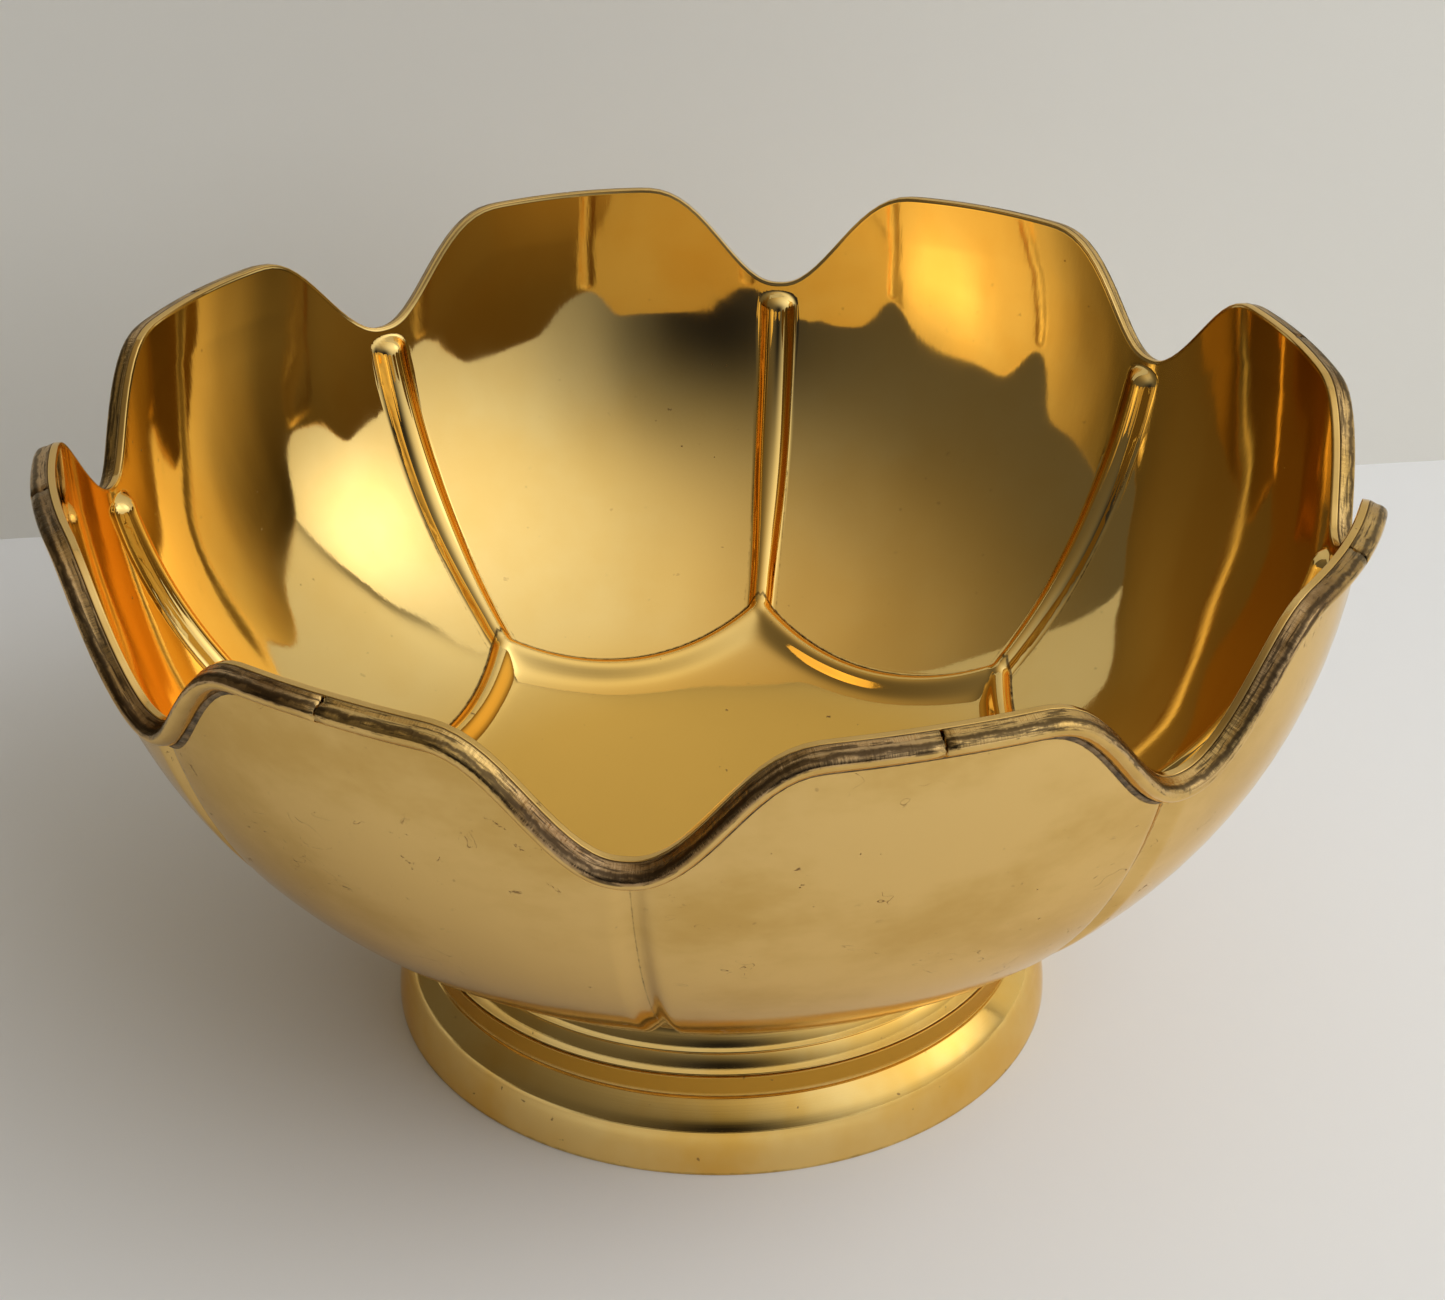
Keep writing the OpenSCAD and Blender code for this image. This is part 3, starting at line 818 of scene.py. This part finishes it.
def foot_profile():
    """The foot's outline: side, shoulder, band, neck and the hollow inside.

    Each point is its radius, its height, its painted shade and whether it is satin.
    """
    r = FOOT_R
    side_edge, side_top = np.array([r, 0.55]), np.array([r - SIDE_LEAN, SIDE_H])
    lean, middle, end = (math.radians(k) for k in (SHOULDER_START, SHOULDER_MID, SHOULDER_END))
    centre = side_top - SHOULDER_R * np.array([math.cos(lean), math.sin(lean)])
    top_centre = centre - (SHOULDER_TOP_R - SHOULDER_R) * np.array([math.cos(middle), math.sin(middle)])
    crease = top_centre + SHOULDER_TOP_R * np.array([math.cos(end), math.sin(end)])
    band_low = crease + [-0.45, 0.25]
    band_high = band_low + [0, BAND_H]
    band_middle = (band_low + band_high) / 2 + [-0.04, 0]
    neck_low = band_high + [-0.7, 0.3]
    high, inside = under_bowl(NECK_TOP_R, NECK_GAP), under_bowl(NECK_TOP_R - FOOT_T, NECK_GAP)
    neck_fold = np.array([NECK_R, high[1] - 3.3])
    neck_step = (neck_low + neck_fold) / 2
    swell = np.array([0.2, 0.08])
    # Each step is its points, the painted shade along them and whether they are satin.
    steps = [
        ([(r - 0.35, 0), (r - 0.12, 0.06), (r - 0.02, 0.2), side_edge], 0.5, 0),
        (bend(side_edge, (side_edge + side_top) / 2 + [0.3, 0.1], side_top, 12), 0, 0),
        (turned(centre, SHOULDER_R, SHOULDER_START + 1, SHOULDER_MID, 16), 0, 0),
        (turned(top_centre, SHOULDER_TOP_R, SHOULDER_MID + 1, SHOULDER_END - 0.5, 7), 0, 0),
        ([crease], 0.1, 0),
        (turned(band_low + [0.25, 0.03], 0.25, 250, 185, 4), 0.45, 0.3),
        (bend(band_low + [0, 0.1], band_middle, band_high - [0, 0.3], 8), 0.05, 1),
        (turned(band_high - [0.16, 0.16], 0.16, 0, 90, 4), 0.1, 0.6),
        ([band_high + k for k in ([-0.3, -0.02], [-0.42, -0.05], [-0.56, 0.02])], 0.75, 0),
        ([band_high + [-0.64, 0.12], neck_low], 0.2, 0),
        (bend(neck_low, (neck_low + neck_step) / 2 + swell, neck_step, 12), 0, 0),
        ([neck_step + [-0.1, 0.06]], 0.35, 0),
        (bend(neck_step + [-0.1, 0.1], (neck_step + neck_fold) / 2 + swell, neck_fold, 12), 0, 0),
        (bend(neck_fold, (neck_fold + high) / 2 - [0.15, 0], high, 6), 0, 0),
        ([inside], 0.3, 0),
        ([neck_fold - [FOOT_T, 0.2], neck_low - [FOOT_T, 0.6], band_low - [FOOT_T, 0.6]], 0.3, 0),
        (turned(centre, SHOULDER_R - FOOT_T, SHOULDER_MID + 12, SHOULDER_START, 6), 0.3, 0),
        ([(r - 2.55, 1.1), (r - 2.5, 0.2), (r - 2.35, 0)], 0.35, 0),
    ]
    return [(float(p[0]), float(p[1]), painted_shade, satin) for points, painted_shade, satin in steps for p in points]


def foot_ring():
    """The spun foot, as one closed skin."""
    profile = foot_profile()
    rings = lathe_rings([(r, z) for r, z, _, _ in profile])
    # The painted shade and the satin band, for each ring.
    values = {
        "painted_shade": np.repeat([painted_shade for _, _, painted_shade, _ in profile], TURN_STEPS),
        "satin": np.repeat([satin for _, _, _, satin in profile], TURN_STEPS),
    }
    mesh_piece("foot_ring_spun", rings, foot_brass(), "foot_ring", values)


def foot_solder(material):
    """The ring of solder in the corner between the neck and the bowl."""
    high, out = under_bowl(NECK_TOP_R, NECK_GAP), under_bowl(NECK_TOP_R + 1.1, 0.05)
    fillet = [high + step for step in ([0.05, 0.05], [0.34, -1.1], [0.5, -0.6], [0.72, -0.2])]
    rings = lathe_rings(fillet + [out, out + [-0.4, 0.1]])
    mesh_piece("foot_solder_ring", rings, material, "foot_solder")


# --- Stage, light and camera ---


FLOOR_COLOUR = (0.81, 0.815, 0.83)
WALL_COLOUR = (0.75, 0.735, 0.69)
ROOM_COLOUR = (0.11, 0.095, 0.07, 1)
CEILING_COLOUR = (0.46, 0.36, 0.19, 1)
GLOW_COLOUR = (1.12, 1.13, 1.12, 1)
CORE_COLOUR = (1.9, 1.92, 1.95, 1)
SHADE_COLOUR = (0.018, 0.018, 0.024, 1)
WINDOW_COLOUR = (0.97, 0.99, 1)
BACKGROUND_COLOUR = (0.45, 0.44, 0.42, 1)
# Spots of glow and shade in the world, one over the other: direction, sharpness and colour.
GLOWS = [
    ((0, 0, 1), 9, CEILING_COLOUR),
    ((0.75, -0.17, 0.64), 5.5, GLOW_COLOUR),
    ((0.87, 0.10, 0.47), 70, CORE_COLOUR),
    ((0.12, -0.98, 0.16), 18, SHADE_COLOUR),
]
WINDOW_PLACE = Vector((0.84, -0.42, 0.76))
WINDOW_TARGET = Vector((0, 0, 0.05))
WINDOW_SIZE = (1.3, 1.15)
WINDOW_POWER = 8.2
# The floor's reach, and the wall's turn, height and foot behind the bowl.
STAGE_WIDE = 1.5
STAGE_FRONT = -1.3
WALL_TURN = math.radians(13)
WALL_FOOT = Vector((-0.026, 0.222, 0))
WALL_LEFT = 0.3
WALL_HIGH = 1.2


def plain_material(name, colour, roughness):
    s = Shader(name)
    s.bsdf.inputs["Base Color"].default_value = (*colour, 1)
    s.bsdf.inputs["Roughness"].default_value = roughness
    return s.material


def sheet_plane(name, corners, material):
    mesh = bpy.data.meshes.new(name)
    mesh.from_pydata([tuple(c) for c in corners], [], [(0, 1, 2, 3)])
    plane = bpy.data.objects.new(name, mesh)
    bpy.context.scene.collection.objects.link(plane)
    mesh.materials.append(material)


def one_sided(material):
    """Lets the camera see through the back of a plane, so that the bowl shows from behind and below."""
    tree = material.node_tree
    add = tree.nodes.new
    geometry, path = add("ShaderNodeNewGeometry"), add("ShaderNodeLightPath")
    both, mix = add("ShaderNodeMath"), add("ShaderNodeMixShader")
    clear = add("ShaderNodeBsdfTransparent")
    both.operation = "MULTIPLY"
    tree.links.new(geometry.outputs["Backfacing"], both.inputs[0])
    tree.links.new(path.outputs["Is Camera Ray"], both.inputs[1])
    tree.links.new(both.outputs[0], mix.inputs[0])
    tree.links.new(tree.nodes["Principled BSDF"].outputs[0], mix.inputs[1])
    tree.links.new(clear.outputs[0], mix.inputs[2])
    tree.links.new(mix.outputs[0], tree.nodes["Material Output"].inputs["Surface"])
    return material


def studio():
    """A plain pale floor with a plain pale wall close behind it."""
    floor = one_sided(plain_material("pale_floor", FLOOR_COLOUR, 0.9))
    wall = one_sided(plain_material("pale_wall", WALL_COLOUR, 0.95))
    along, high = Vector((math.cos(WALL_TURN), math.sin(WALL_TURN), 0)), Vector((0, 0, WALL_HIGH))
    left, right = WALL_FOOT - along * WALL_LEFT, WALL_FOOT + along * STAGE_WIDE
    near = [(-STAGE_WIDE, STAGE_FRONT, 0), (STAGE_WIDE, STAGE_FRONT, 0)]
    sheet_plane("floor", near + [right, WALL_FOOT - along * STAGE_WIDE], floor)
    sheet_plane("backdrop", [left, right, right + high, left + high], wall)


def window_light():
    """A large soft light for the floor and the wall. The brass mirrors the world's glow instead."""
    data = bpy.data.lights.new("window_right", "AREA")
    data.shape = "RECTANGLE"
    data.size, data.size_y = WINDOW_SIZE
    data.energy, data.color = WINDOW_POWER, WINDOW_COLOUR
    light = bpy.data.objects.new("window_right", data)
    bpy.context.scene.collection.objects.link(light)
    facing = (WINDOW_TARGET - WINDOW_PLACE).to_track_quat("-Z", "Y").to_matrix().to_4x4()
    light.matrix_world = Matrix.Translation(WINDOW_PLACE) @ facing
    light.visible_camera = light.visible_glossy = False


def glow_toward(tree, direction, toward, sharpness):
    """A soft spot of the world: 1 in one direction, fading to 0 on the far side."""
    along = tree.nodes.new("ShaderNodeVectorMath")
    along.operation = "DOT_PRODUCT"
    along.inputs[1].default_value = Vector(toward).normalized()
    share, power = tree.nodes.new("ShaderNodeMapRange"), tree.nodes.new("ShaderNodeMath")
    share.inputs["From Min"].default_value = -1
    power.operation = "POWER"
    power.inputs[1].default_value = sharpness
    tree.links.new(direction, along.inputs[0])
    tree.links.new(along.outputs["Value"], share.inputs["Value"])
    tree.links.new(share.outputs["Result"], power.inputs[0])
    return power.outputs[0]


def colour_blend(tree, share, a, b):
    mix = tree.nodes.new("ShaderNodeMix")
    mix.data_type = "RGBA"
    tree.links.new(share, mix.inputs["Factor"])
    for socket, value in ((mix.inputs[6], a), (mix.inputs[7], b)):
        if isinstance(value, bpy.types.NodeSocket):
            tree.links.new(value, socket)
        else:
            socket.default_value = value
    return mix.outputs[2]


def lights():
    """A dim warm room with soft spots of glow and shade, and one large soft light from the right."""
    world = bpy.data.worlds.new("studio_world")
    bpy.context.scene.world = world
    world.use_nodes = True
    tree = world.node_tree
    direction = tree.nodes.new("ShaderNodeTexCoord").outputs["Generated"]
    colour = ROOM_COLOUR
    for toward, sharpness, glow in GLOWS:
        colour = colour_blend(tree, glow_toward(tree, direction, toward, sharpness), colour, glow)
    seen = tree.nodes.new("ShaderNodeLightPath").outputs["Is Camera Ray"]
    colour = colour_blend(tree, seen, colour, BACKGROUND_COLOUR)
    tree.links.new(colour, tree.nodes["Background"].inputs["Color"])
    window_light()


SENSOR_WIDTH = 36
LENS = 67.2
CLIP = (0.01, 20)
# The camera looks down at a point of the bowl's axis from this far. Yaw and roll are turns on the spot.
CAMERA_AZIMUTH = math.radians(6.93)
CAMERA_ELEVATION = 0.5109
CAMERA_DISTANCE = 7.892 * FOOT_R
CAMERA_TARGET_Z = 1.132 * FOOT_R
CAMERA_YAW = 0.0015
CAMERA_ROLL = -0.0073


def camera():
    data = bpy.data.cameras.new("camera")
    data.sensor_width, data.lens = SENSOR_WIDTH, LENS
    data.clip_start, data.clip_end = CLIP
    cam = bpy.data.objects.new("camera", data)
    bpy.context.scene.collection.objects.link(cam)
    bpy.context.scene.camera = cam
    level, rise = math.cos(CAMERA_ELEVATION), math.sin(CAMERA_ELEVATION)
    place = Vector((0, -CAMERA_DISTANCE * level, CAMERA_DISTANCE * rise + CAMERA_TARGET_Z)) * MM
    forward = Vector((math.sin(CAMERA_YAW) * level, math.cos(CAMERA_YAW) * level, -rise))
    right = forward.cross(Vector((0, 0, 1))).normalized()
    up = right.cross(forward)
    tilt_right = math.cos(CAMERA_ROLL) * right + math.sin(CAMERA_ROLL) * up
    tilt_up = math.cos(CAMERA_ROLL) * up - math.sin(CAMERA_ROLL) * right
    facing = Matrix((tilt_right, tilt_up, -forward)).transposed().to_4x4()
    cam.matrix_world = Matrix.Rotation(CAMERA_AZIMUTH, 4, "Z") @ Matrix.Translation(place) @ facing


bowl_body()
moulding_material, solder_material = moulding_brass(), solder_metal()
for lobe in range(LOBES):
    rim_moulding(lobe, moulding_material)
rim_solder(solder_material)
foot_ring()
foot_solder(solder_material)
studio()
lights()
camera()
bpy.context.scene.view_settings.view_transform = "Standard"

bpy.context.view_layer.update()
